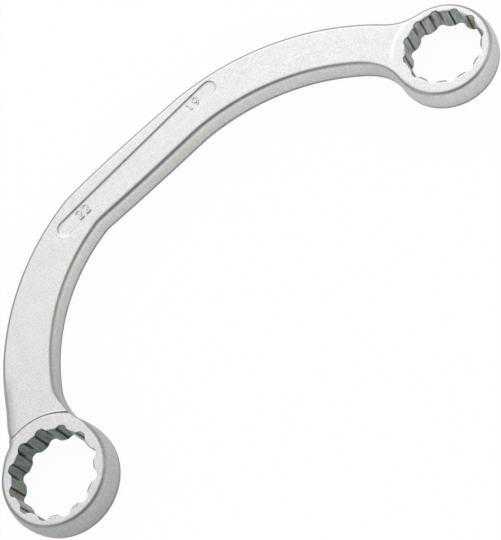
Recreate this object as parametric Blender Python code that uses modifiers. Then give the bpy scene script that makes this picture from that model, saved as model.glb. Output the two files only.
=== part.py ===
# Ring spanner with a bowed handle, forged in one piece.
#
# A large and a small twelve-point ring lie in one plane. A C-shaped handle joins them and leaves a
# wide gap between them, so that it can reach round an obstacle. The handle is a straight grip with
# an arm bowed to an arc at each end. From the large ring to the small one it gets narrower and
# thicker, and both of its faces carry a long shallow recess with round ends.
#
# X runs from the large bore to the small one, Y points to the bulge of the handle and Z is up.
# Outlines are worked out about the point midway between the bores, on the parting plane halfway up
# the rings. Every piece is then shifted, so that the origin is the middle of the bounding box's base.

from math import asin, atan2, cos, pi, radians, sin, sqrt

import bmesh
import bpy
import numpy as np
from mathutils import Matrix, Vector

# Driving dimensions in metres: the two bores
BORE_SPACING = 0.150
LARGE_ACROSS_FLATS = 0.022
SMALL_ACROSS_FLATS = 0.019
HEX_CLEARANCE = 0.00015
# The teeth are bevelled by this much at both mouths of a bore
LARGE_LEAD_IN = 0.0003
SMALL_LEAD_IN = 0.0007

# The two rings: each wall is measured out from the bottoms of the grooves. It drafts in from the parting
# plane and rounds over to its faces.
LARGE_RING_WALL = 0.00296
LARGE_RING_HEIGHT = 0.0089
LARGE_WALL_DRAFT = 0.0005
SMALL_RING_WALL = 0.003
SMALL_RING_HEIGHT = 0.0079
SMALL_WALL_DRAFT = 0.0004
RING_ROUNDING = 0.0011
# The walls aren't quite concentric with the bores: they lie a little towards the gap and the far ring
LARGE_WALL_BACK = 0.0002
LARGE_WALL_DROP = 0.0002
SMALL_WALL_BACK = 0.0008
SMALL_WALL_DROP = 0.0004

# The grip, the straight middle of the handle
GRIP_LENGTH = 0.038
GRIP_RISE = 0.04748
GRIP_SHIFT = 0.0004
LARGE_KNEE_WIDTH = 0.01434
SMALL_KNEE_WIDTH = 0.01385

# The two arms: their centre lines end on the line between the bores, just inside the bore axes
LARGE_ARM_BOW = 0.0607
SMALL_ARM_BOW = 0.0705
LARGE_FOOT_INSET = 0.0006
SMALL_FOOT_INSET = 0.0018
LARGE_FOOT_WIDTH = 0.0163
SMALL_FOOT_WIDTH = 0.0127

# The handle's section, and how far each ring stands proud of the handle's faces
LARGE_FACE_STEP = 0.00155
SMALL_FACE_STEP = 0.00012
HANDLE_DRAFT = 0.00045
HANDLE_ROUNDING = 0.00115

# Fillets in plan where the handle's edges run into the rings, and how deep the arms' ends go inside
LARGE_OUTER_FILLET = 0.0025
LARGE_INNER_FILLET = 0.0180
SMALL_OUTER_FILLET = 0.0100
SMALL_INNER_FILLET = 0.0160
FILLET_BITE = 0.0004
ARM_END_DEPTH = 0.0024

# The recess in each face of the handle
RECESS_LENGTH = 0.0587
RECESS_WIDTH = 0.0045
RECESS_DEPTH = 0.0004
RECESS_RISE = 0.00035
RECESS_SHIFT = 0.0009

# Every cutter runs this far past what it cuts
OVERRUN = 0.002

# Angles
GRIP_TILT = radians(-6.2)
RECESS_TILT = radians(-3.9)
LARGE_GROOVE_TURN = radians(6)
SMALL_GROOVE_TURN = radians(-3)

# Counts
GROOVES = 12
GROOVE_POINTS = 12
RING_STEPS = 72
ROUNDING_STEPS = 4
FILLET_STEPS = 6
ARM_STEPS = 14
RECESS_STEPS = 10
BISECTIONS = 40

# How much the grooves are narrower than the teeth between them, as a share of one radian, and how much
# steeper their flanks are than those of a plain wave, as a share of its slope
FLANK_SHARE = 0.18
STEEPNESS_SHARE = 0.5
# Largest distance at which vertices are merged
WELD = 1e-6

large_axis = np.array([-BORE_SPACING / 2, 0])
small_axis = np.array([BORE_SPACING / 2, 0])
large_wall_centre = large_axis + np.array([LARGE_WALL_BACK, -LARGE_WALL_DROP])
small_wall_centre = small_axis - np.array([SMALL_WALL_BACK, SMALL_WALL_DROP])
large_half_thickness = LARGE_RING_HEIGHT / 2 - LARGE_FACE_STEP
small_half_thickness = SMALL_RING_HEIGHT / 2 - SMALL_FACE_STEP
face_slope = (small_half_thickness - large_half_thickness) / BORE_SPACING


# Radius at the bottom of a groove, where a corner of the hexagon goes
def groove_radius(across_flats):
    return (across_flats + HEX_CLEARANCE) / sqrt(3)


# Radius at the crest of a tooth, where two of the bore's hexagons cross
def tooth_radius(across_flats):
    return (across_flats + HEX_CLEARANCE) / 2 / cos(pi / GROOVES)


large_ring_radius = groove_radius(LARGE_ACROSS_FLATS) + LARGE_RING_WALL
small_ring_radius = groove_radius(SMALL_ACROSS_FLATS) + SMALL_RING_WALL


# Half the handle's thickness at a place along X: both faces are planes
def half_thickness(x):
    return (large_half_thickness + small_half_thickness) / 2 + face_slope * x


def unit(vector):
    return vector / np.linalg.norm(vector)


def heading(angle):
    return np.array([cos(angle), sin(angle)])


# An arm's centre line is an arc that bulges outwards. The function that comes back gives the centre
# point, the outward direction and half the width at a share of the way from start to end.
def bowed_arm(start, end, bow, start_width, end_width):
    reach = np.linalg.norm(end - start) / 2
    along = unit(end - start)
    outward = np.array([-along[1], along[0]])
    hub = (start + end) / 2 - outward * sqrt(bow ** 2 - reach ** 2)
    swing = asin(reach / bow)

    def at(share):
        turn = swing * (2 * share - 1)
        normal = outward * cos(turn) + along * sin(turn)
        return hub + bow * normal, normal, (start_width + (end_width - start_width) * share) / 2

    return at


# A point on an arm's outer edge (side 1) or inner edge (side -1), with the direction out of the metal
def arm_edge(arm, share, side):
    point, normal, half_width = arm(share)
    return point + side * half_width * normal, side * normal


# The share of the way along the arm at which a fillet circle touches both its edge and the ring
def fillet_start(arm, side, ring_share, centre, radius, fillet):
    clear = 1 / 2
    buried = ring_share
    for _ in range(BISECTIONS):
        share = (clear + buried) / 2
        point, outward = arm_edge(arm, share, side)
        if np.linalg.norm(point + fillet * outward - centre) > radius + fillet:
            clear = share
        else:
            buried = share
    return clear


# One edge of an arm, as points with outward directions, from inside the ring to just short of the knee
def arm_side(arm, side, ring_share, centre, ring_radius, fillet):
    radius = ring_radius - FILLET_BITE
    touch = fillet_start(arm, side, ring_share, centre, radius, fillet)
    point, outward = arm_edge(arm, touch, side)
    hub = point + fillet * outward
    into_ring = unit(centre - hub)
    first = atan2(into_ring[1], into_ring[0])
    sweep = atan2(-outward[1], -outward[0]) - first
    sweep = (sweep + pi) % (2 * pi) - pi
    stations = [(centre - (radius - ARM_END_DEPTH) * into_ring, -into_ring)]
    for step in range(FILLET_STEPS):
        ray = heading(first + sweep * step / FILLET_STEPS)
        stations.append((hub + fillet * ray, -ray))
    for step in range(ARM_STEPS):
        share = touch + (1 - ring_share - touch) * step / ARM_STEPS
        stations.append(arm_edge(arm, share, side))
    return stations


# The mitred corner of an edge at a knee, between the directions across the arm and across the grip
def knee_station(knee, width, arm_normal, grip_normal, side):
    mitre = unit(arm_normal + grip_normal)
    return knee + side * mitre * width / 2 / mitre.dot(grip_normal), side * mitre


# Both edges of the whole handle, each a list of points with outward directions from ring to ring
def handle_edges():
    grip_along = heading(GRIP_TILT)
    grip_normal = np.array([-grip_along[1], grip_along[0]])
    grip_centre = np.array([-GRIP_SHIFT, GRIP_RISE])
    large_knee = grip_centre - grip_along * GRIP_LENGTH / 2
    small_knee = grip_centre + grip_along * GRIP_LENGTH / 2
    large_foot = large_axis + np.array([LARGE_FOOT_INSET, 0])
    small_foot = small_axis - np.array([SMALL_FOOT_INSET, 0])
    large_arm = bowed_arm(large_foot, large_knee, LARGE_ARM_BOW, LARGE_FOOT_WIDTH, LARGE_KNEE_WIDTH)
    small_arm = bowed_arm(small_knee, small_foot, SMALL_ARM_BOW, SMALL_KNEE_WIDTH, SMALL_FOOT_WIDTH)
    fillets = {1: (LARGE_OUTER_FILLET, SMALL_OUTER_FILLET), -1: (LARGE_INNER_FILLET, SMALL_INNER_FILLET)}
    edges = []
    for side in (1, -1):
        large_fillet, small_fillet = fillets[side]
        edge = arm_side(large_arm, side, 0, large_wall_centre, large_ring_radius, large_fillet)
        edge.append(knee_station(large_knee, LARGE_KNEE_WIDTH, large_arm(1)[1], grip_normal, side))
        edge.append(knee_station(small_knee, SMALL_KNEE_WIDTH, small_arm(0)[1], grip_normal, side))
        far_edge = arm_side(small_arm, side, 1, small_wall_centre, small_ring_radius, small_fillet)
        edge.extend(reversed(far_edge))
        edges.append(edge)
    return edges


# One side of the handle's section at a station, from the upper face down to the lower one. The side
# leans in by the draft and rounds over to each face.
def section_side(point, outward):
    levels = []
    for step in range(ROUNDING_STEPS + 1):
        turn = pi / 2 * step / ROUNDING_STEPS
        plan = point - outward * (HANDLE_DRAFT + HANDLE_ROUNDING * (1 - sin(turn)))
        levels.append((*plan, half_thickness(plan[0]) - HANDLE_ROUNDING * (1 - cos(turn))))
    lower = [(x, y, -z) for x, y, z in reversed(levels)]
    return levels + [(*point, 0)] + lower


# The handle is a loft through unlike sections, because its width, its thickness and its fillets all
# change along it
def handle_loft(name, edges, collection):
    mesh = bpy.data.meshes.new(name)
    form = bmesh.new()
    rings = []
    for (outer, outer_out), (inner, inner_out) in zip(*edges):
        section = section_side(outer, outer_out) + section_side(inner, inner_out)[::-1]
        rings.append([form.verts.new(co) for co in section])
    for ring, following in zip(rings, rings[1:]):
        for i in range(len(ring)):
            form.faces.new((ring[i - 1], ring[i], following[i], following[i - 1]))
    form.faces.new(rings[0])
    form.faces.new(rings[-1])
    bmesh.ops.recalc_face_normals(form, faces=form.faces)
    form.to_mesh(mesh)
    form.free()
    return place(name, mesh, collection)


# Puts a mesh in the scene. Everything in the tools' collection is only there to shape the forging.
def place(name, mesh, collection):
    body = bpy.data.objects.new(name, mesh)
    collection.objects.link(body)
    body.hide_render = True
    body.display_type = "WIRE"
    return body


# A ring before it is bored: a disc turned from half its section, with its wall widest halfway up
def ring_blank(name, radius, height, draft, collection):
    rise = height / 2
    upper = [(0, 0, rise)]
    for step in range(ROUNDING_STEPS + 1):
        turn = pi / 2 * step / ROUNDING_STEPS
        wall = radius - draft - RING_ROUNDING * (1 - sin(turn))
        upper.append((wall, 0, rise - RING_ROUNDING * (1 - cos(turn))))
    profile = upper + [(radius, 0, 0)] + [(x, y, -z) for x, y, z in reversed(upper)]
    mesh = bpy.data.meshes.new(name)
    mesh.from_pydata(profile, [(i, i + 1) for i in range(len(profile) - 1)], [])
    blank = place(name, mesh, collection)
    screw = blank.modifiers.new("turn", "SCREW")
    screw.steps = RING_STEPS
    screw.render_steps = RING_STEPS
    screw.use_merge_vertices = True
    screw.merge_threshold = WELD
    return blank


# An upright prism on a closed outline, made from a filled curve
def prism(name, outline, height, collection):
    curve = bpy.data.curves.new(name, "CURVE")
    curve.dimensions = "2D"
    curve.fill_mode = "BOTH"
    curve.extrude = height / 2
    spline = curve.splines.new("POLY")
    spline.points.add(len(outline) - 1)
    for point, (x, y) in zip(spline.points, outline):
        point.co = (x, y, 0, 1)
    spline.use_cyclic_u = True
    guide = bpy.data.objects.new(name, curve)
    collection.objects.link(guide)
    depsgraph = bpy.context.evaluated_depsgraph_get()
    mesh = bpy.data.meshes.new_from_object(guide.evaluated_get(depsgraph))
    bpy.data.objects.remove(guide)
    form = bmesh.new()
    form.from_mesh(mesh)
    bmesh.ops.remove_doubles(form, verts=form.verts, dist=WELD)
    form.to_mesh(mesh)
    form.free()
    return place(name, mesh, collection)


# A twelve-point bore: a wave of rounded grooves, with broader teeth between them
def bore_cutter(name, across_flats, turn, height, collection):
    groove = groove_radius(across_flats)
    tooth = tooth_radius(across_flats)
    outline = []
    for step in range(GROOVES * GROOVE_POINTS):
        phase = 2 * pi * step / GROOVE_POINTS
        wave = cos(phase + FLANK_SHARE * sin(phase))
        share = (1 + wave * (1 + STEEPNESS_SHARE * (1 - wave ** 2))) / 2
        outline.append((tooth + (groove - tooth) * share) * heading(turn + phase / GROOVES))
    return prism(name, outline, height, collection)


# A cone as high as it is wide, which bevels the crests of the teeth at one mouth of a bore. It stands on
# its wide end, which is past the ring's face, and its vertices lie halfway between those of the bore.
def lead_in_cutter(name, across_flats, lead_in, turn, collection):
    base = tooth_radius(across_flats) + lead_in + OVERRUN
    steps = GROOVES * GROOVE_POINTS
    mesh = bpy.data.meshes.new(name)
    form = bmesh.new()
    bmesh.ops.create_cone(form, cap_ends=True, segments=steps, radius1=base, radius2=0, depth=base)
    half_step = Matrix.Rotation(turn + pi / steps, 4, "Z")
    seat = Matrix.Translation((0, 0, base / 2 - OVERRUN))
    bmesh.ops.transform(form, matrix=seat @ half_step, verts=form.verts)
    form.to_mesh(mesh)
    form.free()
    return place(name, mesh, collection)


# The outline of a slot with round ends
def slot_outline(length, width):
    outline = []
    for end in (1, -1):
        for step in range(RECESS_STEPS + 1):
            ray = end * heading(pi * step / RECESS_STEPS - pi / 2)
            outline.append(np.array([end * (length - width) / 2, 0]) + width / 2 * ray)
    return outline


# A recess cutter for the upper face (side 1) or the lower face (side -1), tilted to lie along it
def recess_cutter(name, side, collection):
    height = RECESS_DEPTH + OVERRUN
    cutter = prism(name, slot_outline(RECESS_LENGTH, RECESS_WIDTH), height, collection)
    x = RECESS_SHIFT - GRIP_SHIFT
    y = GRIP_RISE + RECESS_RISE
    z = side * (half_thickness(x) + height / 2 - RECESS_DEPTH)
    lean = Matrix.Rotation(-side * atan2(face_slope, 1), 4, "Y")
    cutter.matrix_world = Matrix.Translation((x, y, z)) @ lean @ Matrix.Rotation(RECESS_TILT, 4, "Z")
    return cutter


# Adds one Boolean step to the forging
def combine(forging, tool, operation):
    step = forging.modifiers.new(tool.name, "BOOLEAN")
    step.operation = operation
    step.object = tool
    step.solver = "EXACT"


def steel():
    material = bpy.data.materials.new("satin_chrome")
    material.use_nodes = True
    shader = material.node_tree.nodes["Principled BSDF"]
    shader.inputs["Base Color"].default_value = (0.72, 0.73, 0.72, 1)
    shader.inputs["Metallic"].default_value = 1
    shader.inputs["Roughness"].default_value = 0.32
    return material


# The shift from the point midway between the bores to the middle of the bounding box's base
def frame_shift(outer_edge):
    low_x = large_wall_centre[0] - large_ring_radius
    high_x = small_wall_centre[0] + small_ring_radius
    low_y = min(large_wall_centre[1] - large_ring_radius, small_wall_centre[1] - small_ring_radius)
    high_y = max(point[1] for point, _ in outer_edge)
    rise = max(LARGE_RING_HEIGHT, SMALL_RING_HEIGHT) / 2
    return Vector((-(low_x + high_x) / 2, -(low_y + high_y) / 2, rise))


# One ring's blank, bore and two lead-ins, each placed and added to the forging's steps
def add_ring(forging, size, axis, wall_centre, radius, height, draft, bore_shape, collection):
    across_flats, lead_in, turn = bore_shape
    blank = ring_blank(f"{size}_ring_blank", radius, height, draft, collection)
    blank.location = (*wall_centre, 0)
    combine(forging, blank, "UNION")
    through = height + OVERRUN
    bore = bore_cutter(f"{size}_bore", across_flats, turn, through, collection)
    bore.location = (*axis, 0)
    lower = lead_in_cutter(f"{size}_lower_lead_in", across_flats, lead_in, turn, collection)
    lower.location = (*axis, -height / 2)
    upper = lead_in_cutter(f"{size}_upper_lead_in", across_flats, lead_in, -turn, collection)
    upper.location = (*axis, height / 2)
    upper.rotation_euler = (pi, 0, 0)
    return [bore, lower, upper]


def build():
    for leftover in list(bpy.data.objects):
        bpy.data.objects.remove(leftover)
    part = bpy.data.collections.new("ring_spanner")
    tools = bpy.data.collections.new("blanks_and_cutters")
    bpy.context.scene.collection.children.link(part)
    bpy.context.scene.collection.children.link(tools)

    edges = handle_edges()
    handle = handle_loft("handle_blank", edges, tools)
    large_bore = (LARGE_ACROSS_FLATS, LARGE_LEAD_IN, LARGE_GROOVE_TURN)
    small_bore = (SMALL_ACROSS_FLATS, SMALL_LEAD_IN, SMALL_GROOVE_TURN)
    cutters = add_ring(handle, "large", large_axis, large_wall_centre, large_ring_radius,
                       LARGE_RING_HEIGHT, LARGE_WALL_DRAFT, large_bore, tools)
    cutters += add_ring(handle, "small", small_axis, small_wall_centre, small_ring_radius,
                        SMALL_RING_HEIGHT, SMALL_WALL_DRAFT, small_bore, tools)
    cutters.append(recess_cutter("upper_recess", 1, tools))
    cutters.append(recess_cutter("lower_recess", -1, tools))
    for cutter in cutters:
        combine(handle, cutter, "DIFFERENCE")

    depsgraph = bpy.context.evaluated_depsgraph_get()
    mesh = bpy.data.meshes.new_from_object(handle.evaluated_get(depsgraph))
    mesh.materials.clear()
    mesh.materials.append(steel())
    mesh.shade_smooth()
    mesh.set_sharp_from_angle(angle=radians(30))
    forging = bpy.data.objects.new("spanner_forging", mesh)
    part.objects.link(forging)
    shift = frame_shift(edges[0])
    for body in bpy.data.objects:
        body.location += shift


build()
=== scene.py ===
from math import atan2, cos, pi, radians, sin, sqrt, tan

import bmesh
import bpy
import numpy as np
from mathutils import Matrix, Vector


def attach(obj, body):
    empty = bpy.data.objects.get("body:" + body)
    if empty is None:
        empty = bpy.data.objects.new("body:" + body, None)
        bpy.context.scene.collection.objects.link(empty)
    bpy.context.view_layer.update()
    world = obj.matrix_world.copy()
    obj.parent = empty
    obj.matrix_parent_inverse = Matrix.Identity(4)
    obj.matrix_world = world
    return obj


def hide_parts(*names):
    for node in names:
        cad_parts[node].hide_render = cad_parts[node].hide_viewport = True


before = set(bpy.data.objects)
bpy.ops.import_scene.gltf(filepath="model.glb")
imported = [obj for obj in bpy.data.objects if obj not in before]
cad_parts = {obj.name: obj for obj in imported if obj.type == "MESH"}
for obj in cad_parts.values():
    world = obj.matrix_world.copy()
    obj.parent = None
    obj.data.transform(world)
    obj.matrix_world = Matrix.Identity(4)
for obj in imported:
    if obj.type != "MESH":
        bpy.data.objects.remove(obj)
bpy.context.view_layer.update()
print("frame loaded")


# the forging in metres: places in plan are about the point midway between the bores and heights
# about the mid plane

boreSpacing = 0.150
spanner = {
    "largeRing": {
        "axis": np.array([-boreSpacing / 2, 0]),
        "wallCentre": np.array([-boreSpacing / 2 + 0.0002, -0.0002]),
        "acrossFlats": 0.022,
        "wall": 0.00296,  # outside the bottoms of the grooves
        "halfHeight": 0.00445,
        "grooveTurn": radians(6),
        "leadIn": 0.00045,
        "step": 0.00155,  # how far the handle's face lies below the ring's
        "rimRadius": 0.01568,  # where the ring's face starts to fall to the handle's
        "rimRounding": 0.001,
        "footRounding": 0.0003,
        "seamRadius": 0.0174,  # where the ring's grid ends and the arm's starts
        "outerFillet": 0.0035,
        "innerFillet": 0.0148,
        "freeAim": radians(250),  # the ring's edge is fullest on this side
        "freeRounding": 0.0001,
        "freeLean": radians(19),
    },
    "smallRing": {
        "axis": np.array([boreSpacing / 2, 0]),
        "wallCentre": np.array([boreSpacing / 2 - 0.0008, -0.0004]),
        "acrossFlats": 0.019,
        "wall": 0.0030,
        "halfHeight": 0.00395,
        "grooveTurn": radians(-3),
        "leadIn": 0.0007,
        "step": 0.00012,
        "rimRadius": 0.0128,
        "rimRounding": 0.006,
        "footRounding": 0.006,
        "seamRadius": 0.0156,
        "outerFillet": 0.014,
        "innerFillet": 0.0115,
        "freeAim": radians(265),
        "freeRounding": 0.0,
        "freeLean": radians(14),
    },
    "bore": {
        "grooves": 12,
        "clearance": 0.00015,  # over a hexagon's width across flats
        "flankShare": 0.18,  # how much broader the teeth are than the grooves
        "steepnessShare": 0.5,
        "mouthRounding": 0.00012,
        "soften": 0.00005,
        "bevelSlope": 2.0,  # how far the teeth's bevel goes in for each step down
        "mouthLine": 0.8,  # how dark the painted shade line round a mouth is
        "toothLine": 0.6,  # and how much fainter on the teeth
        "lineDepths": (2, 6),  # it fades between these depths, in mouth roundings
    },
    "grip": {
        "centre": np.array([-0.0004, 0.04748]),
        "length": 0.038,
        "tilt": radians(-6.2),
        "largeWidth": 0.01418,
        "smallWidth": 0.01385,
        "kneeSoftness": 0.0016,
        "kneeReach": (0.012, 0.018),
        "outerBulge": 0.0004,  # neither edge is quite straight
        "innerBulge": 0.00022,
        "bulgeSkew": 0.8,  # below 1 the bulge lies nearer the large ring
        "edgeRounding": 0.0002,  # the inner edge is fuller than the arms'
        "edgeFade": (0.3, 0.8),  # in lengths of the grip from its middle
    },
    "arms": {
        "largeBow": 0.0614,
        "smallBow": 0.0705,
        "largeFoot": np.array([-boreSpacing / 2 + 0.0006, 0]),
        "smallFoot": np.array([boreSpacing / 2 - 0.0018, 0]),
        "largeFootWidth": 0.0163,
        "smallFootWidth": 0.0127,
        "bendShare": 0.3,  # the mesh bends to the seams over this share of an arm
        "softShade": 0.32,  # painted shade darkens the large arm's outer edge softly
        "shadeReach": 0.2,  # over this share of its width
        "shadeTilts": (0.4, 1),  # and down the wall to these tilts
    },
    "section": {
        "steepest": radians(75),  # no step is steeper
        "creaseStart": (0.001, 0.05),  # the painted shade on the large step, in shares of its fall
        "creaseEnd": (0.95, 1),
        "creaseTilts": (0, 0.5),
        "rounding": 0.0015,
        "lean": radians(9),
        "lowerLean": radians(4),  # the wall's lower half is steeper and its round tighter
        "lowerShare": 0.35,  # of what is added to the lean above it
        "lowerRound": 0.92,
        "freeFade": (0.001, 0.006),
        "beneathHeights": (0.5, 0.95),  # painted shade darkens the wall over this stretch of its lower half
        "beneathTilts": (0.05, 0.4),  # but not where its round has turned to the underside
        "spotCore": 0.3,  # a spot acts in full over this share of its reach
    },
    "spots": {
        # where the face's edge is rounder or sharper than elsewhere
        "largeArm": {"place": np.array([-0.0745, 0.0215]), "reach": 0.018,
                     "rounding": 0.0008, "lean": 0},
        "largeFillet": {"place": np.array([-0.0607, 0.0089]), "reach": 0.009,
                        "rounding": -0.0011, "lean": -radians(5)},
        "smallFillet": {"place": np.array([0.0616, 0.0078]), "reach": 0.009,
                        "rounding": -0.0006, "lean": -radians(3)},
    },
    "ends": {
        "notch": {"place": np.array([-0.0765, 0.0160]), "reach": 0.010},
        "notchFill": 0.0007,  # the notch outside the large ring's fillet is shallow
        "step": {"place": np.array([-0.0760, 0.0140]), "reach": 0.0022},  # its painted shade ends here
    },
    "recess": {
        "centre": np.array([0.0005, 0.04783]),
        "length": 0.0587,
        "width": 0.0045,
        "depth": 0.0004,
        "tilt": radians(-3.9),
        "wallWidth": 0.00013,
        "wallLine": 0.9,  # how dark the painted shade line along its wall is
        "endMargin": 0.0036,
    },
    "fineness": {
        "outlineStep": 0.0001,
        "stepPoints": 24,  # on each of a step's two arcs
        "filletPoints": 120,
        "armPoints": 1200,
        "freePoints": 900,  # on a ring's free wall
        "halvings": 40,
        "weld": 2e-6,
        "across": 40,
        "arm": 80,
        "grip": 80,
        "pointsPerGroove": 24,
        "ringRows": 20,
        "roundRows": 12,
        "wallRows": 4,
        "boreRows": (4, 7, 5, 2),  # over the rounded lip, the bevel, below it and the deep part
        "gripRows": 8,
        "recessRows": (8, 4),  # down its wall and across its floor
        "searchRows": 240,
        "freeBunching": 1.0,  # how much denser the points are where the face's height changes
        "ringBunching": 2.0,
    },
}
largeRing, smallRing, bore, grip, arms, section, spots, ends, recess, fineness = spanner.values()
zoneNames = ("side", "bore", "groove", "turn", "crease", "shadeBeneath")


def unit(vectors):
    # vectors divided by their own lengths
    return vectors / np.linalg.norm(vectors, axis=-1, keepdims=True)


def heading(angles):
    # unit vectors at angles from +X: their cosines and sines
    return np.stack([np.cos(angles), np.sin(angles)], -1)


def leftOf(vectors):
    # plan vectors turned left by a quarter turn
    return np.stack([-vectors[..., 1], vectors[..., 0]], -1)


def turned(points, angle):
    # plan points turned about the origin
    return points @ np.array([[cos(angle), sin(angle)], [-sin(angle), cos(angle)]])


def angleOf(vector):
    return atan2(vector[1], vector[0])


def shortWay(angles):
    # angles brought to within a half turn of zero
    return (angles + pi) % (2 * pi) - pi


def ease(low, high, values):
    # a cubic step from 0 at low to 1 at high: three times the share squared less twice its cube
    share = np.clip((values - low) / (high - low), 0, 1)
    return share * share * (3 - 2 * share)


def softMax(first, second, reach):
    # the larger of two values: half of their sum and of their difference, rounded where they cross
    return (first + second + np.sqrt((first - second) ** 2 + reach ** 2)) / 2


def travelOf(line):
    # how far along a line each of its points lies: the running sum of its steps
    steps = np.linalg.norm(np.diff(line, axis=0), axis=1)
    return np.concatenate([[0], np.cumsum(steps)])


def placesAt(marks, line):
    # the points of a line at given distances along it
    travel = travelOf(line)
    return np.stack([np.interp(marks, travel, line[:, i]) for i in (0, 1)], 1)


def averaged(line, kernel):
    # the running average of a line's points, weighted by the kernel
    return np.stack([np.convolve(line[:, i], kernel / kernel.sum(), "valid") for i in (0, 1)], 1)


def nearTo(spot, plan):
    # 1 near a spot on the outline, 0 past its reach
    distance = np.linalg.norm(plan - spot["place"], axis=-1)
    return 1 - ease(section["spotCore"] * spot["reach"], spot["reach"], distance)


def ringRadius(ring):
    # the radius at the bottoms of the grooves, a hexagon's corner, and the wall outside it
    return (ring["acrossFlats"] + bore["clearance"]) / sqrt(3) + ring["wall"]


def handleHalf(x):
    # half the handle's thickness: both faces are planes that open towards the small ring
    large = largeRing["halfHeight"] - largeRing["step"]
    small = smallRing["halfHeight"] - smallRing["step"]
    return (large + small) / 2 + (small - large) * x / boreSpacing


def stepFall(plan, ring):
    # the share of a ring's step that is done, by the distance from the ring's centre: an arc over
    # the rim, a straight run no steeper than allowed, and an arc at the foot
    step, rim, foot = ring["step"], ring["rimRounding"], ring["footRounding"]
    steepest = min(section["steepest"], np.arccos(1 - step / (rim + foot)))
    turn = np.linspace(0, steepest, fineness["stepPoints"])
    run = (step - (rim + foot) * (1 - cos(steepest))) / tan(steepest)
    width = (rim + foot) * sin(steepest) + run
    across = np.concatenate([rim * np.sin(turn), width - foot * np.sin(turn[::-1])])
    drop = np.concatenate([rim * (1 - np.cos(turn)), step - foot * (1 - np.cos(turn[::-1]))])
    radius = np.linalg.norm(plan - ring["wallCentre"], axis=-1)
    return np.interp(radius - ring["rimRadius"], across, drop / step)


def faceHeight(plan):
    # height of the upper face: the handle's plane, lifted to each ring's own face inside its rim
    height = handleHalf(plan[..., 0])
    for ring in (largeRing, smallRing):
        height = ring["halfHeight"] + (height - ring["halfHeight"]) * stepFall(plan, ring)
    return height


def creaseAt(plan):
    # painted shade: 1 on the step round the large ring, from just over its rim to its foot
    fall = stepFall(plan, largeRing)
    onStep = ease(*section["creaseStart"], fall) * (1 - ease(*section["creaseEnd"], fall))
    return onStep * (1 - nearTo(ends["step"], plan))


def edgeShape(points):
    # the rounding and the wall's lean along the outline: fuller on the rings' free sides, by half
    # of 1 plus the cosine of the turn from there, along the grip's inner edge and at the spots
    rounding = np.full(len(points), section["rounding"])
    lean = np.full(len(points), section["lean"])
    for ring in (largeRing, smallRing):
        away = points - ring["wallCentre"]
        turn = np.arctan2(away[:, 1], away[:, 0]) - ring["freeAim"]
        past = np.linalg.norm(away, axis=1) - ringRadius(ring)
        share = (1 + np.cos(turn)) / 2 * (1 - ease(*section["freeFade"], past))
        rounding += share * ring["freeRounding"]
        lean += share * ring["freeLean"]
    along = heading(grip["tilt"])
    fromMiddle = np.abs((points - grip["centre"]) @ along) / grip["length"]
    inner = (points - grip["centre"]) @ leftOf(along) < 0
    rounding += (1 - ease(*grip["edgeFade"], fromMiddle)) * inner * grip["edgeRounding"]
    for spot in spots.values():
        rounding += nearTo(spot, points) * spot["rounding"]
        lean += nearTo(spot, points) * spot["lean"]
    return rounding, lean


def bowedArm(start, end, bow, startWidth, endWidth):
    # an arm: its centre line is an arc of radius bow and its width changes evenly along it. The
    # result gives points on that line, outward directions and half widths at shares of its length.
    reach = np.linalg.norm(end - start) / 2
    along = unit(end - start)
    outward = leftOf(along)
    hub = (start + end) / 2 - outward * sqrt(bow ** 2 - reach ** 2)
    swing = np.arcsin(reach / bow)

    def at(shares):
        shares = np.asarray(shares)
        turn = (swing * (2 * shares - 1))[..., None]
        normals = outward * np.cos(turn) + along * np.sin(turn)
        halves = (startWidth + (endWidth - startWidth) * shares) / 2
        return hub + bow * normals, normals, halves[..., None]

    return at


def armEdge(arm, shares, side):
    # one edge of an arm: half a width off its centre line, with the direction out of the metal
    points, normals, halves = arm(shares)
    return points + side * halves * normals, side * normals


def armSide(arm, side, ringShare, ring, fillet):
    # one edge of an arm from its ring to its knee: an arc that touches the ring and the edge, found
    # by halving the stretch in which its centre lies, and then the edge itself
    centre, radius = ring["wallCentre"], ringRadius(ring)
    clear, buried = 0.5, float(ringShare)
    for _ in range(fineness["halvings"]):
        share = (clear + buried) / 2
        point, outward = armEdge(arm, share, side)
        if np.linalg.norm(point + fillet * outward - centre) > radius + fillet:
            clear = share
        else:
            buried = share
    point, outward = armEdge(arm, clear, side)
    hub = point + fillet * outward
    first = angleOf(centre - hub)
    sweep = shortWay(angleOf(-outward) - first)
    curve = hub + fillet * heading(first + sweep * np.linspace(0, 1, fineness["filletPoints"]))
    edge = armEdge(arm, np.linspace(clear, 1 - ringShare, fineness["armPoints"]), side)[0]
    return np.concatenate([curve, edge[1:]])


def ringArc(ring, start, end):
    # the free wall of a ring, an arc clockwise from one touching point to the other
    centre = ring["wallCentre"]
    first = angleOf(start - centre)
    sweep = (first - angleOf(end - centre)) % (2 * pi)
    share = np.linspace(0, 1, fineness["freePoints"])[1:-1]
    return centre + ringRadius(ring) * heading(first - sweep * share)


def evenLoop(loop, spacing):
    # the same closed line with its points at even steps of travel
    closed = np.concatenate([loop, loop[:1]])
    length = travelOf(closed)[-1]
    return placesAt(np.linspace(0, length, int(length / spacing), endpoint=False), closed)


def outwardOf(loop):
    # the left of the direction of travel, which points out of the metal on a clockwise loop
    return unit(leftOf(np.roll(loop, -1, 0) - np.roll(loop, 1, 0)))


def softKnees(loop, knees):
    # the knees are rounded by a running average, weighted by a bell, that acts only near them
    reach = int(grip["kneeSoftness"] / fineness["outlineStep"])
    wrapped = np.concatenate([loop[-reach:], loop, loop[:reach]])
    soft = averaged(wrapped, np.hanning(2 * reach + 1))
    nearest = np.min([np.linalg.norm(loop - knee, axis=1) for knee in knees], axis=0)
    return loop + (soft - loop) * (1 - ease(*grip["kneeReach"], nearest))[:, None]


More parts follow.
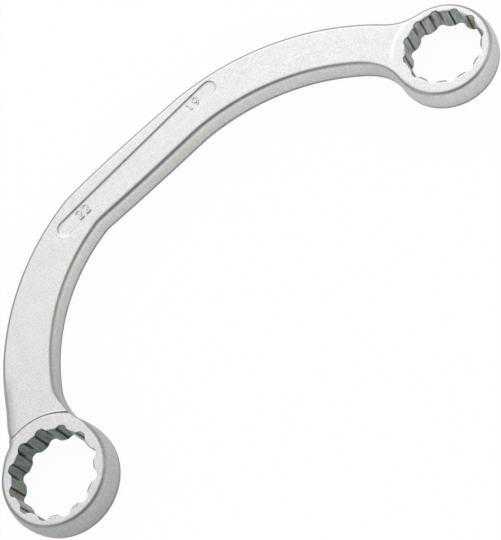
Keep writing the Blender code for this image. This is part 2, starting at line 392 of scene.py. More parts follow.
def bulgedGrip(loop):
    # the grip's edges swell outwards by half a sine wave of the share of its length
    along = heading(grip["tilt"])
    across = leftOf(along)
    share = np.clip((loop - grip["centre"]) @ along / grip["length"] + 0.5, 0, 1)
    outer = (loop - grip["centre"]) @ across > 0
    bulge = np.where(outer, grip["outerBulge"], -grip["innerBulge"])
    return loop + (bulge * np.sin(pi * share ** grip["bulgeSkew"]))[:, None] * across


def wholeOutline():
    # the outline on the mid plane at even steps, clockwise from the large ring's outer fillet
    along = heading(grip["tilt"])
    largeKnee = grip["centre"] - along * grip["length"] / 2
    smallKnee = grip["centre"] + along * grip["length"] / 2
    largeArm = bowedArm(arms["largeFoot"], largeKnee, arms["largeBow"],
                        arms["largeFootWidth"], grip["largeWidth"])
    smallArm = bowedArm(smallKnee, arms["smallFoot"], arms["smallBow"],
                        grip["smallWidth"], arms["smallFootWidth"])
    outerLarge = armSide(largeArm, 1, 0, largeRing, largeRing["outerFillet"])
    outerSmall = armSide(smallArm, 1, 1, smallRing, smallRing["outerFillet"])[::-1]
    innerSmall = armSide(smallArm, -1, 1, smallRing, smallRing["innerFillet"])
    innerLarge = armSide(largeArm, -1, 0, largeRing, largeRing["innerFillet"])[::-1]
    loop = np.concatenate([
        outerLarge, outerSmall, ringArc(smallRing, outerSmall[-1], innerSmall[0]),
        innerSmall, innerLarge, ringArc(largeRing, innerLarge[-1], outerLarge[0]),
    ])
    loop = softKnees(evenLoop(loop, fineness["outlineStep"]), (largeKnee, smallKnee))
    loop = bulgedGrip(loop)
    fill = ends["notchFill"] * nearTo(ends["notch"], loop)
    return loop + fill[:, None] * outwardOf(loop)


def faceEdge(points, outward):
    # where the face starts to round over: the outline drawn in by the wall's lean and the rounding.
    # The wall's lean grows evenly with height, so its inset is half its height times the lean's
    # slope. The height depends on the place, so it is worked out three times over.
    rounding, lean = edgeShape(points)
    inner = points - section["rounding"] * outward
    for _ in range(3):
        top = faceHeight(inner) - rounding * (1 - np.sin(lean))
        inset = top * np.tan(lean) / 2 + rounding * np.cos(lean)
        inner = points - inset[:, None] * outward
    return inner


loop = wholeOutline()
loopOut = outwardOf(loop)
loopEdge = faceEdge(loop, loopOut)
print("outline worked out:", len(loop), "points")


def crossing(values, start):
    # the index, with its fraction, at which values first change sign past a given index
    place = start + np.nonzero(np.diff(np.sign(values[start:])))[0][0]
    return place + values[place] / (values[place] - values[place + 1])


def stationsBetween(start, end, count, bunching):
    # indices along the loop at even steps of travel, bunched where the face's height changes
    inside = np.arange(int(start), int(end) + 2)
    edge = loopEdge[inside % len(loop)]
    steps = np.linalg.norm(np.diff(edge, axis=0), axis=1)
    steps += bunching * np.abs(np.diff(faceHeight(edge)))
    travel = np.concatenate([[0], np.cumsum(steps)])
    first, last = np.interp([start, end], inside, travel)
    return np.interp(np.linspace(first, last, count + 1), travel, inside)


def sample(indices):
    # the outline's points and outward directions at fractional indices, by straight blending
    low = np.floor(indices).astype(int)
    share = (indices - low)[:, None]
    low, high = low % len(loop), (low + 1) % len(loop)
    points = loop[low] * (1 - share) + loop[high] * share
    return points, unit(loopOut[low] * (1 - share) + loopOut[high] * share)


def wallStations():
    # stations all round the outline, in eight stretches that end at the rings' seams and at two
    # straight cuts across the handle, past the recess's ends
    fromLarge, fromSmall = [
        np.linalg.norm(loopEdge - ring["wallCentre"], axis=1) - ring["seamRadius"]
        for ring in (largeRing, smallRing)]
    run = (loopEdge - recess["centre"]) @ heading(recess["tilt"])
    reach = recess["length"] / 2 + recess["endMargin"]
    arm, middle, bunching = fineness["arm"], fineness["grip"], fineness["freeBunching"]
    free = bore["grooves"] * fineness["pointsPerGroove"] - fineness["across"]
    start = first = crossing(fromLarge, 0)
    stretches = []
    for border, count, weight in (
            (run + reach, arm, 0), (run - reach, middle, 0), (fromSmall, arm, 0),
            (fromSmall, free, bunching),
            (run - reach, arm, 0), (run + reach, middle, 0), (fromLarge, arm, 0)):
        end = crossing(border, int(start) + 2)
        stretches.append(stationsBetween(start, end, count, weight))
        start = end
    return stretches + [stationsBetween(start, first + len(loop), free, bunching)]


# the surface is a set of grids, each an array of points row by row

def gridFaces(rows, columns, flip=False):
    # quads between neighbouring rows and columns of a grid stored row by row
    corner = np.arange(rows - 1)[:, None] * columns + np.arange(columns - 1)
    quads = [corner, corner + 1, corner + columns + 1, corner + columns]
    quads = np.stack(quads, -1).reshape(-1, 4)
    return quads[:, ::-1] if flip else quads


def linked(name, data):
    body = bpy.data.objects.new(name, data)
    bpy.context.scene.collection.objects.link(body)
    return body


class Sheet:
    # collects grids, with values for the material at each point, painted shade among them, and
    # welds them into a closed mesh
    def __init__(self):
        self.points, self.faces, self.total = [], [], 0
        self.zones = {name: [] for name in zoneNames}

    def add(self, grid, flip=False, **zones):
        rows, columns = grid.shape[:2]
        self.points.append(grid.reshape(-1, 3))
        self.faces.append(gridFaces(rows, columns, flip) + self.total)
        for name, values in self.zones.items():
            values.append(np.broadcast_to(zones.get(name, 0.0), (rows, columns)).ravel())
        self.total += rows * columns

    def addBoth(self, plan, height, crease):
        # the upper surface and its mirror image below
        self.add(np.concatenate([plan, height[..., None]], -1), True, crease=crease)
        self.add(np.concatenate([plan, -height[..., None]], -1), crease=crease)

    def toObject(self, name, shift):
        mesh = bpy.data.meshes.new(name)
        points, faces = np.concatenate(self.points) + shift, np.concatenate(self.faces)
        mesh.from_pydata(points.tolist(), [], faces.tolist())
        for zoneName, values in self.zones.items():
            zone = mesh.attributes.new(zoneName, "FLOAT", "POINT")
            zone.data.foreach_set("value", np.concatenate(values).astype(np.float32))
        form = bmesh.new()
        form.from_mesh(mesh)
        bmesh.ops.remove_doubles(form, verts=form.verts, dist=fineness["weld"])
        bmesh.ops.dissolve_degenerate(form, edges=form.edges, dist=1e-7)
        loose = sum(not edge.is_contiguous for edge in form.edges)
        volume = form.calc_volume(signed=True) * 1e9
        print(name, len(form.faces), "faces,", loose, "open edges,", round(volume), "mm3")
        form.to_mesh(mesh)
        form.free()
        mesh.shade_smooth()
        return linked(name, mesh)


def between(first, last, rows):
    # a grid of straight columns from one line of points to another
    share = np.linspace(0, 1, rows + 1)[:, None, None]
    return first * (1 - share) + last * share


def bunched(first, last, rows, weight):
    # straight columns whose rows crowd where the face's height changes: they stand at even steps of
    # the distance plus weight times the change in height, summed along many fine rows
    count = fineness["searchRows"]
    height = faceHeight(between(first, last, count))
    steps = np.linalg.norm(last - first, axis=-1) / count + weight * np.abs(np.diff(height, axis=0))
    travel = np.concatenate([np.zeros((1, len(first))), np.cumsum(steps, 0)])
    travel /= travel[-1]
    marks = np.linspace(0, 1, rows + 1)[:, None]
    low = np.clip((travel[None] <= marks[:, None]).sum(1) - 1, 0, count - 1)
    before = np.take_along_axis(travel, low, 0)
    after = np.take_along_axis(travel, low + 1, 0)
    shares = ((low + (marks - before) / (after - before)) / count)[..., None]
    return first * (1 - shares) + last * shares


def halfWall(height, inset, down, lean):
    # rows from the face's edge to the mid plane: a quarter oval as deep as down, cut off where it
    # meets the lean, then a wall whose inset falls with the square of the share of its height
    wallTop = height - down * (1 - np.sin(lean))
    wallInset = wallTop * np.tan(lean) / 2
    across = (inset - wallInset) / np.cos(lean)
    turns = np.linspace(np.full(len(lean), pi / 2), lean, fineness["roundRows"])
    share = np.linspace(1, 0, fineness["wallRows"] + 1)[1:, None]
    insets = np.concatenate([inset - across * np.cos(turns), wallInset * share ** 2])
    heights = np.concatenate([height - down * (1 - np.sin(turns)), wallTop * share])
    tilts = np.concatenate([1 - np.sin(turns), 1 - np.sin(lean) * share])
    return insets, heights, tilts, wallTop


def wallGrid(points, outward):
    # the side, from the upper face's edge down to the lower one's, and its values for the material,
    # painted shade among them
    rounding, lean = edgeShape(points)
    inner = faceEdge(points, outward)
    height = faceHeight(inner)
    inset = np.linalg.norm(points - inner, axis=1)
    lowerLean = section["lowerLean"] + section["lowerShare"] * (lean - section["lean"])
    lowerRounding = np.minimum(rounding, section["rounding"]) * section["lowerRound"]
    upper = halfWall(height, inset, rounding, lean)
    lower = halfWall(height, inset, lowerRounding, lowerLean)
    insets = np.concatenate([upper[0], lower[0][-2::-1]])
    heights = np.concatenate([upper[1], -lower[1][-2::-1]])
    tilt = np.concatenate([upper[2], lower[2][-2::-1]])
    plan = points - insets[..., None] * outward
    # painted shade: soft on the large arm's edge, a line along the step, and towards the wall's
    # lower edge
    shade = arms["softShade"] * nearTo(spots["largeArm"], inner)
    shade = shade * (1 - ease(*arms["shadeTilts"], tilt))
    shadeBeneath = ease(*section["beneathHeights"], -heights / lower[3])
    zones = {
        "side": tilt,  # 0 on the face, 1 on an upright wall
        "crease": np.maximum(creaseAt(inner) * (1 - ease(*section["creaseTilts"], tilt)), shade),
        "shadeBeneath": shadeBeneath * ease(*section["beneathTilts"], tilt),
    }
    return np.concatenate([plan, heights[..., None]], -1), zones


def boreAngles(ring):
    steps = bore["grooves"] * fineness["pointsPerGroove"]
    return ring["grooveTurn"] + 2 * pi * np.arange(steps + 1) / steps


def boreRadius(ring, angles, depth):
    # between a tooth's radius and a groove's by a wave: the cosine of the phase plus a share of its
    # sine, which broadens the teeth, made steeper by its own cube. At the mouth the teeth are
    # bevelled and the edge is rounded.
    gauge = ring["acrossFlats"] + bore["clearance"]
    groove = gauge / sqrt(3)
    tooth = gauge / 2 / cos(pi / bore["grooves"])
    phase = bore["grooves"] * (angles - ring["grooveTurn"])
    wave = np.cos(phase + bore["flankShare"] * np.sin(phase))
    share = (1 + wave * (1 + bore["steepnessShare"] * (1 - wave ** 2))) / 2
    bevel = tooth + ring["leadIn"] - bore["bevelSlope"] * depth
    radius = softMax(tooth + (groove - tooth) * share, bevel, bore["soften"])
    lip = np.clip(1 - depth / bore["mouthRounding"], 0, 1)
    return radius + bore["mouthRounding"] * (1 - np.sqrt(1 - lip ** 2))


def boreGrid(ring):
    # the bore from its upper mouth to its lower one, with rows that are closest at the mouths
    angles = boreAngles(ring)
    half, lip = ring["halfHeight"], bore["mouthRounding"]
    bevel = lip + ring["leadIn"] / bore["bevelSlope"] + bore["soften"]
    lipRows, bevelRows, nextRows, deepRows = fineness["boreRows"]
    depths = np.concatenate([
        lip * (1 - np.cos(np.linspace(0, pi / 2, lipRows + 1))),
        np.linspace(lip, bevel, bevelRows + 1)[1:],
        np.linspace(bevel, 3 * bevel, nextRows + 1)[1:],
        np.linspace(3 * bevel, half, deepRows + 1)[1:],
    ])
    depth = np.concatenate([depths, depths[-2::-1]])[:, None]
    level = np.concatenate([half - depths, (depths - half)[-2::-1]])[:, None]
    radius = boreRadius(ring, angles, depth)
    plan = ring["axis"] + radius[..., None] * heading(angles)
    phase = bore["grooves"] * (angles - ring["grooveTurn"])
    tooth = np.sin(phase / 2) ** 2
    fadeStart, fadeEnd = bore["lineDepths"]
    # a line of painted shade round the mouth, fainter on the teeth
    line = ease(0, lip, depth) * (1 - ease(fadeStart * lip, fadeEnd * lip, depth))
    zones = {
        "bore": ease(0, bevel / 2, depth),
        "groove": tooth,  # 0 along a groove's middle, 1 along a tooth's
        "turn": 0.5 + 0.5 * np.sin(phase),  # which of its flanks is near
        "crease": bore["mouthLine"] * line * (1 - bore["toothLine"] * tooth),
    }
    return np.concatenate([plan, np.broadcast_to(level, radius.shape)[..., None]], -1), zones


def ringSeam(ring, outer, inner):
    # where a ring's face meets its arm's: an arc about the ring, from the outer edge to the inner
    first = angleOf(outer - ring["wallCentre"])
    sweep = shortWay(angleOf(inner - ring["wallCentre"]) - first)
    angles = first + sweep * np.linspace(0, 1, fineness["across"] + 1)
    seam = ring["wallCentre"] + ring["seamRadius"] * heading(angles)
    seam[[0, -1]] = outer, inner
    return seam


def ringFace(sheet, ring, seam, free):
    # a ring's face: straight columns from the mouth of the bore to the seam and the free wall's
    # edge, paired off from the middle of the seam
    angles = boreAngles(ring)[:-1]
    mouth = boreRadius(ring, angles, 0.0)
    rim = np.concatenate([seam[:-1], free])
    aim = angleOf(seam[len(seam) // 2] - ring["axis"])
    start = np.argmin(np.abs(shortWay(angles - aim))) - len(seam) // 2
    order = (start + np.arange(len(rim))) % len(angles)
    inner = ring["axis"] + (mouth[:, None] * heading(angles))[order]
    plan = bunched(inner, rim, fineness["ringRows"], fineness["ringBunching"])
    sheet.addBoth(plan, faceHeight(plan), creaseAt(plan))


def armFace(sheet, start, end, outer, inner):
    # an arm's face: straight lines across it, bent near each end to follow the line there
    plan = between(outer, inner, fineness["across"])
    travel = np.linspace(0, 1, len(outer))[None, :, None]
    bendStart = (start - plan[:, 0])[:, None] * (1 - ease(0, arms["bendShare"], travel))
    bendEnd = (end - plan[:, -1])[:, None] * ease(1 - arms["bendShare"], 1, travel)
    plan = plan + bendStart + bendEnd
    # painted shade along the large arm's outer edge, with the step's line
    inward = np.linspace(0, 1, fineness["across"] + 1)[:, None]
    fade = np.maximum(1 - inward / arms["shadeReach"], 0) ** 2
    shade = arms["softShade"] * nearTo(spots["largeArm"], plan) * fade
    sheet.addBoth(plan, faceHeight(plan), np.maximum(creaseAt(plan), shade))


def slotLoop(length, width, sideCount, endCount):
    # a slot with half-round ends, clockwise from the start of its upper side, and the nearest
    # points of its spine: a side and an end, and then both again, given a half turn
    half = (length - width) / 2
    run = np.concatenate([np.linspace(-half, half, sideCount + 1)[:-1], np.full(endCount, half)])
    turn = pi / 2 - pi * np.concatenate([np.zeros(sideCount), np.arange(endCount) / endCount])
    spine = np.stack([run, np.zeros(len(run))], 1)
    edge = spine + width / 2 * heading(turn)
    return [np.concatenate([line, -line, line[:1]]) for line in (edge, spine)]


def addRecess(sheet, rim):
    # the grip's face round the recess, the recess's wall, a cubic step down, and its flat floor
    lines = slotLoop(recess["length"], recess["width"], fineness["grip"], fineness["across"])
    edge, spine = [recess["centre"] + turned(line, recess["tilt"]) for line in lines]
    apron = between(rim, edge, fineness["gripRows"])
    sheet.addBoth(apron, faceHeight(apron), 0.0)
    wallRows, floorRows = fineness["recessRows"]
    wallShare = 2 * recess["wallWidth"] / recess["width"]
    shares = np.concatenate([
        np.linspace(0, wallShare, wallRows + 1), np.linspace(wallShare, 1, floorRows + 1)[1:]])
    shares = shares[:, None, None]
    plan = edge * (1 - shares) + spine * shares
    sunk = ease(0, wallShare, shares[..., 0])
    # a line of painted shade along the recess's wall
    crease = 4 * sunk * (1 - sunk) * recess["wallLine"]
    sheet.addBoth(plan, handleHalf(plan[..., 0]) - recess["depth"] * sunk, crease)


def makeForging(shift):
    # the side in its eight stretches, the faces of the arms, rings and grip, and the bores
    sheet = Sheet()
    edges = []
    for indices in wallStations():
        points, outward = sample(indices)
        grid, zones = wallGrid(points, outward)
        sheet.add(grid, **zones)
        edges.append(faceEdge(points, outward))
    outerLarge, outerGrip, outerSmall, freeSmall = edges[:4]
    innerSmall, innerGrip, innerLarge, freeLarge = edges[4:]
    innerSmall, innerLarge = innerSmall[::-1], innerLarge[::-1]
    largeSeam = ringSeam(largeRing, outerLarge[0], innerLarge[0])
    smallSeam = ringSeam(smallRing, outerSmall[-1], innerSmall[-1])
    largeCut = between(outerGrip[0], innerGrip[-1], fineness["across"])[:, 0]
    smallCut = between(outerGrip[-1], innerGrip[0], fineness["across"])[:, 0]
    armFace(sheet, largeSeam, largeCut, outerLarge, innerLarge)
    armFace(sheet, smallCut, smallSeam, outerSmall, innerSmall)
    ringFace(sheet, largeRing, largeSeam[::-1], freeLarge[::-1])
    ringFace(sheet, smallRing, smallSeam, freeSmall[::-1])
    addRecess(sheet, np.concatenate([
        outerGrip[:-1], smallCut[:-1], innerGrip[:-1], largeCut[::-1]]))
    for ring in (largeRing, smallRing):
        grid, zones = boreGrid(ring)
        sheet.add(grid, **zones)
    return sheet.toObject("spannerBody", shift)


# the two sizes stand raised on the floor of each recess, one near each ring

numbers = {
    "places": {"22": -0.0205, "19": 0.0212},  # each number's middle along the recess
    "height": 0.0026,
    "advance": 0.0024,  # from one digit to the next
    "strokeWidth": 0.00056,
    "rise": 0.00028,
    "squareness": 0.7,  # the stroke's section is an ellipse at 1 and squarer below
    "stepAlong": 0.00006,
    "ringPoints": 17,
    "smoothing": 5,
    "footLine": 0.5,  # how dark the painted shade line round a digit's foot is
    "footHeights": (0.2, 0.9),  # it fades between these shares of the rise
}


def arc(centre, radius, first, last):
    # points on a circle from one angle to another, in degrees
    turn = np.radians(np.linspace(first, last, 40))
    return np.array(centre) + radius * heading(turn)


def digitPath(digit):
    # a digit's stroke in a box 1 high and 0.6 wide: lines, arcs and a parabola for the nine's tail
    fall = np.linspace(0, 1, 24)[:, None]
    tail = [0.6, 0.7] - fall * [0, 0.7] - fall ** 2 * [0.42, 0]
    return {
        "1": np.array([(0.10, 0.76), (0.34, 1.0), (0.34, 0.0)]),
        "2": np.concatenate([arc((0.3, 0.71), 0.29, 165, -35), [(0.02, 0.0), (0.62, 0.0)]]),
        "9": np.concatenate([arc((0.3, 0.7), 0.3, 0, 360), tail]),
    }[digit]


def strokeGrid(path):
    # a rounded ridge carried along the path: each ring of points is a squarish oval, a power of the
    # cosine across and of the sine up, that shrinks as a quarter circle at the ends
    length = travelOf(path)[-1]
    marks = np.linspace(0, length, int(length / numbers["stepAlong"]))
    points = placesAt(marks, path)
    margin = numbers["smoothing"] // 2
    padded = np.concatenate([points[:1].repeat(margin, 0), points, points[-1:].repeat(margin, 0)])
    points = averaged(padded, np.ones(numbers["smoothing"]))
    across = leftOf(unit(np.gradient(points, axis=0)))
    half = numbers["strokeWidth"] / 2
    past = np.clip(1 - np.minimum(marks, length - marks) / half, 0, 1)
    swell = np.sqrt(1 - past ** 2)[:, None]
    turn = np.linspace(0, 2 * pi, numbers["ringPoints"])
    wide, tall = [
        size * np.sign(wave) * np.abs(wave) ** numbers["squareness"] * swell
        for size, wave in ((half, np.cos(turn)), (numbers["rise"], np.sin(turn)))]
    plan = points[:, None] + wide[..., None] * across[:, None]
    # a line of painted shade round the digit's foot
    crease = numbers["footLine"] * (1 - ease(*numbers["footHeights"], tall / numbers["rise"]))
    return np.concatenate([plan, tall[..., None]], -1), crease


def makeNumbers(shift):
    # on the lower face the digits are turned round, so that they read from below
    sheet = Sheet()
    for side in (1, -1):
        for text, place in numbers["places"].items():
            for i, digit in enumerate(text):
                path = (digitPath(digit) - [0.3, 0.5]) * numbers["height"]
                path[:, 0] += (i - 0.5) * numbers["advance"]
                grid, crease = strokeGrid(path)
                plan = turned(grid[..., :2] * [side, 1] + [place, 0], recess["tilt"])
                plan = recess["centre"] + plan
                floor = handleHalf(plan[..., :1]) - recess["depth"]
                grid = np.concatenate([plan, side * (floor + grid[..., 2:])], -1)
                sheet.add(grid, crease=crease)
    return sheet.toObject("sizeNumbers", shift)


class Nodes:
    # a short way to build a node tree: inputs are plain values or other nodes' outputs
    def __init__(self, tree):
        self.tree = tree

    def add(self, kind, inputs=None, **settings):
        node = self.tree.nodes.new(kind)
        for name, value in settings.items():
            setattr(node, name, value)
        for name, value in (inputs or {}).items():
            self.fill(node.inputs[name], value)
        return node

    def fill(self, socket, value):
        if isinstance(value, bpy.types.NodeSocket):
            self.tree.links.new(value, socket)
        else:
            socket.default_value = value

    def math(self, operation, first, second=0.0):
        return self.add("ShaderNodeMath", {0: first, 1: second}, operation=operation).outputs[0]

    def times(self, first, second):
        return self.math("MULTIPLY", first, second)

    def mapped(self, value, fromLow, fromHigh, toLow=0.0, toHigh=1.0, smooth=True):
        kind = "SMOOTHSTEP" if smooth else "LINEAR"
        return self.add("ShaderNodeMapRange", {
            "Value": value, "From Min": fromLow, "From Max": fromHigh,
            "To Min": toLow, "To Max": toHigh}, interpolation_type=kind).outputs[0]

    def mixed(self, share, first, second):
        node = self.add("ShaderNodeMix", {"Factor": share}, data_type="RGBA")
        for socket, value in zip(node.inputs[6:8], (first, second)):
            self.fill(socket, (*value, 1) if isinstance(value, tuple) else value)
        return node.outputs[2]

    def noise(self, place, scale, detail, stretch=(1, 1, 1)):
        moved = self.add("ShaderNodeMapping", {"Vector": place, "Scale": stretch}).outputs[0]
        inputs = {"Vector": moved, "Scale": scale, "Detail": detail}
        return self.add("ShaderNodeTexNoise", inputs).outputs[0]

    def distance(self, place, point):
        node = self.add("ShaderNodeVectorMath", {0: place, 1: point}, operation="DISTANCE")
        return node.outputs["Value"]

    def zone(self, name):
        return self.add("ShaderNodeAttribute", attribute_name=name).outputs["Fac"]


chrome = {
    # colours at the large ring, along the handle and at the small ring, with the stretches of x
    # over which one gives way to the next; the darker colours at the large ring and the lighter
    # ones at the small are painted shade and painted light
    "face": {
        "large": (0.642, 0.642, 0.648), "handle": (0.677, 0.677, 0.682),
        "small": (0.705, 0.705, 0.71), "largeFade": (-0.09, -0.045), "smallFade": (0.03, 0.07)},
    "wall": {
        "large": (0.465, 0.48, 0.475), "small": (0.655, 0.665, 0.66),
        "largeFade": (-0.082, -0.026), "smallFade": (0.04, 0.075)},
    # the edge's dark line is painted shade
    "edge": {
        "large": (0.26, 0.27, 0.27), "handle": (0.29, 0.30, 0.30),
        "small": (0.35, 0.36, 0.36), "largeFade": (-0.06, -0.03), "smallFade": (0.06, 0.075)},
    "coolWall": (0.72, 0.745, 0.745),  # patches of these two along the handle's wall
    "warmWall": (0.71, 0.715, 0.685),
    "largeBore": (0.27, 0.32, 0.31),
    "smallBore": (0.54, 0.57, 0.56),
    # painted shade on the grooves' flanks
    "largeFlankShade": (0.02, 0.035, 0.03),
    "smallFlankShade": (0.07, 0.08, 0.075),
    "boreFade": (-0.02, 0.02),
    "sideBore": (0.62, 0.66, 0.65),  # the bores' sides are lighter than their backs
    "sideShare": 0.6,
    "sideFade": (0.0085, 0.002),  # distances in y from the axes
    # the colour of all painted shade: its lines, the large arm's soft edge and the walls' lower
    # edges
    "crease": (0.14, 0.145, 0.145),
    "underside": 0.7,  # how far painted shade darkens the wall towards its lower edge
    # olive patches of painted reflection in the bores
    "oliveReflection": (0.34, 0.31, 0.17),
    "oliveReflectionPlaces": ((-0.0845, -0.0144, 0.0043), (0.0866, -0.0187, 0.0040)),
    "oliveReflectionReach": (0.003, 0.0042),
    "oliveReflectionCore": 0.3,
    # tilts, from 0 on the face to 1 on an upright wall
    "wallTilts": (0.1, 0.5),
    "edgeStart": (0.002, 0.09),
    "edgeEnd": (0.50, 0.15),
    "softEdge": 0.2,  # how much of the edge's painted shade line is left on the large arm
    "softCore": 0.4,
    "softHeight": 0.007,
    # where a groove's flank carries painted shade, from 0 in its middle to 1 on the tooth: the
    # centre of the painted line, the reach of full shade and of any
    "nearFlank": (0.42, 0.03, 0.17),
    "farFlank": (0.56, 0.06, 0.20),
    "flankTurn": (0.45, 0.55),
    # grain
    "grainScale": 2400,
    "mottleScale": 210,
    "patchScale": 45,
    "streakScale": 1500,
    "streakStretch": (1, 1, 0.12),
    # low and high noise, and what they give
    "grainTone": (0.3, 0.7, 0.84, 1.11),
    "mottleTone": (0.3, 0.7, 0.97, 1.02),
    "wallStreaks": (0.35, 0.65, 0.06, -0.01),
    "boreStreaks": (0.35, 0.65, 0.4, 0.0),
    "roughGrain": (0.3, 0.7, -0.03, 0.03),
    "edgeGrain": (0.35, 0.5, 0.6, 1.0),
    "oliveReflectionGrain": (0.3, 0.45),
    "patchFade": (0.4, 0.6),
    "faceRoughness": 0.34,
    "wallRoughness": 0.46,
    "boreRoughness": 0.24,
    "bumpStrength": 0.25,
    "bumpDepth": 0.00002,
}


def makeChrome(shift):
    # blasted satin plating with painted shade, light and reflection in its colour: one noise drives
    # the grain in tone, roughness and bump
    material = bpy.data.materials.new("satinChrome")
    material.use_nodes = True
    nodes = Nodes(material.node_tree)
    shader = nodes.tree.nodes["Principled BSDF"]
    place = nodes.add("ShaderNodeTexCoord").outputs["Object"]
    x, y = nodes.add("ShaderNodeSeparateXYZ", {0: place}).outputs[:2]
    grain = nodes.noise(place, chrome["grainScale"], 3)
    mottle = nodes.noise(place, chrome["mottleScale"], 2)
    patches = nodes.noise(place, chrome["patchScale"], 1)
    streaks = nodes.noise(place, chrome["streakScale"], 2, chrome["streakStretch"])
    side, inside, groove, turn, crease, shadeBeneath = [nodes.zone(name) for name in zoneNames]

    # the darker colours at the large ring and the lighter at the small are painted shade and light
    def alongTool(colours, handle):
        colour = nodes.mixed(nodes.mapped(x, *colours["largeFade"]), colours["large"], handle)
        return nodes.mixed(nodes.mapped(x, *colours["smallFade"]), colour, colours["small"])

    # the wall's darker colour, partly its duller steel and partly painted shade, starts past the
    # rounding; the edge itself carries a line of painted shade
    cast = nodes.mapped(patches, *chrome["patchFade"])
    cast = nodes.mixed(cast, chrome["coolWall"], chrome["warmWall"])
    faceColour = alongTool(chrome["face"], chrome["face"]["handle"])
    wallColour = alongTool(chrome["wall"], cast)
    edgeShadeColour = alongTool(chrome["edge"], chrome["edge"]["handle"])
    onWall = nodes.mapped(side, *chrome["wallTilts"])
    # painted shade along the face's edge, fainter on the large arm
    edgeShade = nodes.times(
        nodes.mapped(side, *chrome["edgeStart"]), nodes.mapped(side, *chrome["edgeEnd"]))
    edgeShade = nodes.times(edgeShade, nodes.mapped(grain, *chrome["edgeGrain"]))
    soft = spots["largeArm"]
    softPlace = (soft["place"][0] + shift[0], soft["place"][1] + shift[1], chrome["softHeight"])
    gap = nodes.distance(place, softPlace)
    edgeShade = nodes.times(edgeShade, nodes.mapped(
        gap, chrome["softCore"] * soft["reach"], soft["reach"], chrome["softEdge"], 1.0))
    colour = nodes.mixed(onWall, faceColour, wallColour)
    colour = nodes.mixed(edgeShade, colour, edgeShadeColour)
    # painted shade towards the wall's lower edge
    colour = nodes.mixed(nodes.times(shadeBeneath, chrome["underside"]), colour, chrome["crease"])

    # inside the bores the plating is thin and greenish, with painted shade along the grooves'
    # flanks and patches of painted olive reflection
    towardsSmall = nodes.mapped(x, *chrome["boreFade"])
    boreColour = nodes.mixed(towardsSmall, chrome["largeBore"], chrome["smallBore"])
    sideStart, sideEnd = [float(shift[1]) + fade for fade in chrome["sideFade"]]
    atSide = nodes.mapped(y, sideStart, sideEnd, 0.0, chrome["sideShare"])
    boreColour = nodes.mixed(atSide, boreColour, chrome["sideBore"])
    # patches of painted olive reflection
    for spot, reach in zip(chrome["oliveReflectionPlaces"], chrome["oliveReflectionReach"]):
        reflectionShare = nodes.mapped(nodes.distance(place, spot), reach, chrome["oliveReflectionCore"] * reach)
        reflectionShare = nodes.times(reflectionShare, nodes.mapped(grain, *chrome["oliveReflectionGrain"]))
        boreColour = nodes.mixed(reflectionShare, boreColour, chrome["oliveReflection"])
    # painted shade along the grooves' flanks
    flankShadeShares = []
    for middle, full, reach in (chrome["nearFlank"], chrome["farFlank"]):
        off = nodes.math("ABSOLUTE", nodes.math("SUBTRACT", groove, middle))
        flankShadeShares.append(nodes.mapped(off, reach, full))
    onFar = nodes.mapped(turn, *chrome["flankTurn"])
    flankShadeShare = nodes.add("ShaderNodeMix", {"Factor": onFar, "A": flankShadeShares[0], "B": flankShadeShares[1]})
    flankShadeColour = nodes.mixed(towardsSmall, chrome["largeFlankShade"], chrome["smallFlankShade"])
    boreColour = nodes.mixed(flankShadeShare.outputs[0], boreColour, flankShadeColour)
    colour = nodes.mixed(inside, colour, boreColour)
    # painted shade lines at the step, the recess's wall, the bores' mouths and the digits' feet
    colour = nodes.mixed(crease, colour, chrome["crease"])

    # the grain and mottle lighten and darken the whole, the streaks only the walls and bores
    def evenly(noise, name):
        return nodes.mapped(noise, *chrome[name], smooth=False)

    tone = nodes.times(evenly(grain, "grainTone"), evenly(mottle, "mottleTone"))
    wallShade = nodes.times(onWall, evenly(streaks, "wallStreaks"))
    boreShade = nodes.times(inside, evenly(streaks, "boreStreaks"))
    shade = nodes.math("ADD", boreShade, wallShade)
    tone = nodes.times(tone, nodes.math("SUBTRACT", 1.0, shade))
    toned = nodes.add("ShaderNodeVectorMath", {0: colour, "Scale": tone}, operation="SCALE")
    nodes.fill(shader.inputs["Base Color"], toned.outputs[0])

    rough = nodes.mapped(
        onWall, 0, 1, chrome["faceRoughness"], chrome["wallRoughness"], smooth=False)
    rough = nodes.math("ADD", rough, evenly(grain, "roughGrain"))
    polish = chrome["boreRoughness"] - chrome["faceRoughness"]
    rough = nodes.math("ADD", rough, nodes.mapped(inside, 0, 1, 0, polish))
    nodes.fill(shader.inputs["Roughness"], rough)
    bump = nodes.add("ShaderNodeBump", {
        "Height": grain, "Strength": chrome["bumpStrength"], "Distance": chrome["bumpDepth"]})
    nodes.fill(shader.inputs["Normal"], bump.outputs[0])
    shader.inputs["Metallic"].default_value = 1
    return material


# studio: a pale floor, a soft sky with a dim patch above the camera, a lamp behind the tool and the
# camera of the photograph

studio = {
    "floorColour": (0.93, 0.93, 0.93, 1),
    "floorHalf": 3.0,
    "cameraWhite": 0.96,  # how far the floor is lifted to plain white for the camera
    "mirrorWhite": 0.35,  # and in reflections
    "sky": 1.15,
    "horizon": 0.45,  # the sky's strength there, as a share of that overhead
    "horizonRise": 0.7,
    "frontGlow": 0.5,  # the horizon is brighter on the camera's side
    "dimSky": 0.37,  # the share of the sky's strength left in the dim patch
    "dimAim": (-0.33 * sin(radians(24)), -0.944 * sin(radians(24)), cos(radians(24))),
    "dimInner": cos(radians(15)),
    "dimOuter": cos(radians(44)),
    "lampPlace": (0.45, 0.85, 0.5),
    "lampSize": 1.0,
    "lampPower": 1.9,
}
camera = {
    "place": (-0.0222, -0.27917, 0.45145),
    "turn": (22.8228, 20.2106, -44.1274),
    "lens": 132.08,
    "sensor": 36,
    "clip": (0.01, 20),
}


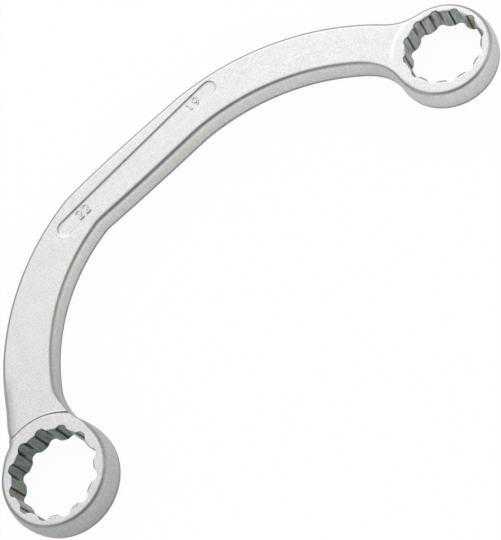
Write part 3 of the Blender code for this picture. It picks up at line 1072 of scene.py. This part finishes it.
def addCamera():
    data = bpy.data.cameras.new("camera")
    data.lens = camera["lens"]
    data.sensor_width = camera["sensor"]
    data.clip_start, data.clip_end = camera["clip"]
    body = linked("camera", data)
    body.location = camera["place"]
    body.rotation_euler = [radians(angle) for angle in camera["turn"]]
    bpy.context.scene.camera = body


def addFloor():
    # a plain square of paper that the camera sees as white, apart from the tool's faint shadow
    mesh = bpy.data.meshes.new("floor")
    half = studio["floorHalf"]
    corners = [(-half, -half, 0), (half, -half, 0), (half, half, 0), (-half, half, 0)]
    mesh.from_pydata(corners, [], [(0, 1, 2, 3)])
    body = linked("floor", mesh)
    material = bpy.data.materials.new("floor")
    material.use_nodes = True
    nodes = Nodes(material.node_tree)
    nodes.tree.nodes.remove(nodes.tree.nodes["Principled BSDF"])
    rays = nodes.add("ShaderNodeLightPath")
    paper = nodes.add("ShaderNodeBsdfDiffuse", {"Color": studio["floorColour"]})
    white = nodes.add("ShaderNodeEmission", {"Strength": 1.0})
    seen = nodes.times(rays.outputs["Is Camera Ray"], studio["cameraWhite"])
    mirrored = nodes.times(rays.outputs["Is Glossy Ray"], studio["mirrorWhite"])
    share = nodes.math("ADD", seen, mirrored)
    mix = nodes.add("ShaderNodeMixShader", {0: share, 1: paper.outputs[0], 2: white.outputs[0]})
    nodes.fill(nodes.tree.nodes["Material Output"].inputs["Surface"], mix.outputs[0])
    mesh.materials.append(material)


def addLamp():
    data = bpy.data.lights.new("backLamp", "AREA")
    data.size = studio["lampSize"]
    data.energy = studio["lampPower"]
    body = linked("backLamp", data)
    body.location = studio["lampPlace"]
    body.rotation_euler = (-Vector(studio["lampPlace"])).to_track_quat("-Z", "Y").to_euler()


def addWorld():
    # the sky's strength rises from the horizon, sooner on the camera's side, and falls in the dim
    # patch by the cosine of the angle from its middle
    world = bpy.data.worlds.new("studio")
    world.use_nodes = True
    nodes = Nodes(world.node_tree)
    aim = nodes.add("ShaderNodeTexCoord").outputs["Generated"]
    nearness = nodes.add("ShaderNodeVectorMath", {0: aim, 1: studio["dimAim"]},
                         operation="DOT_PRODUCT").outputs["Value"]
    parts = nodes.add("ShaderNodeSeparateXYZ", {0: aim}).outputs
    front = nodes.math("MAXIMUM", nodes.times(parts[1], -studio["frontGlow"]), 0.0)
    height = nodes.math("ADD", parts[2], front)
    openSky = nodes.mapped(height, 0.0, studio["horizonRise"],
                           studio["horizon"] * studio["sky"], studio["sky"])
    dim = nodes.mapped(nearness, studio["dimOuter"], studio["dimInner"], 1.0, studio["dimSky"])
    back = nodes.tree.nodes["Background"]
    back.inputs["Color"].default_value = (1, 1, 1, 1)
    nodes.fill(back.inputs["Strength"], nodes.times(openSky, dim))
    bpy.context.scene.world = world


addCamera()
addFloor()
addWorld()
addLamp()
bpy.context.scene.view_settings.view_transform = "Standard"
print("studio ready")

middle = (loop.min(0) + loop.max(0)) / 2
shift = np.array([-middle[0], -middle[1], largeRing["halfHeight"]])
satinChrome = makeChrome(shift)
forging = makeForging(shift)
sizeNumbers = makeNumbers(shift)
for piece in (forging, sizeNumbers):
    piece.data.materials.append(satinChrome)
    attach(piece, "root")
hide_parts("spanner_forging")
print("forging and size numbers dressed")
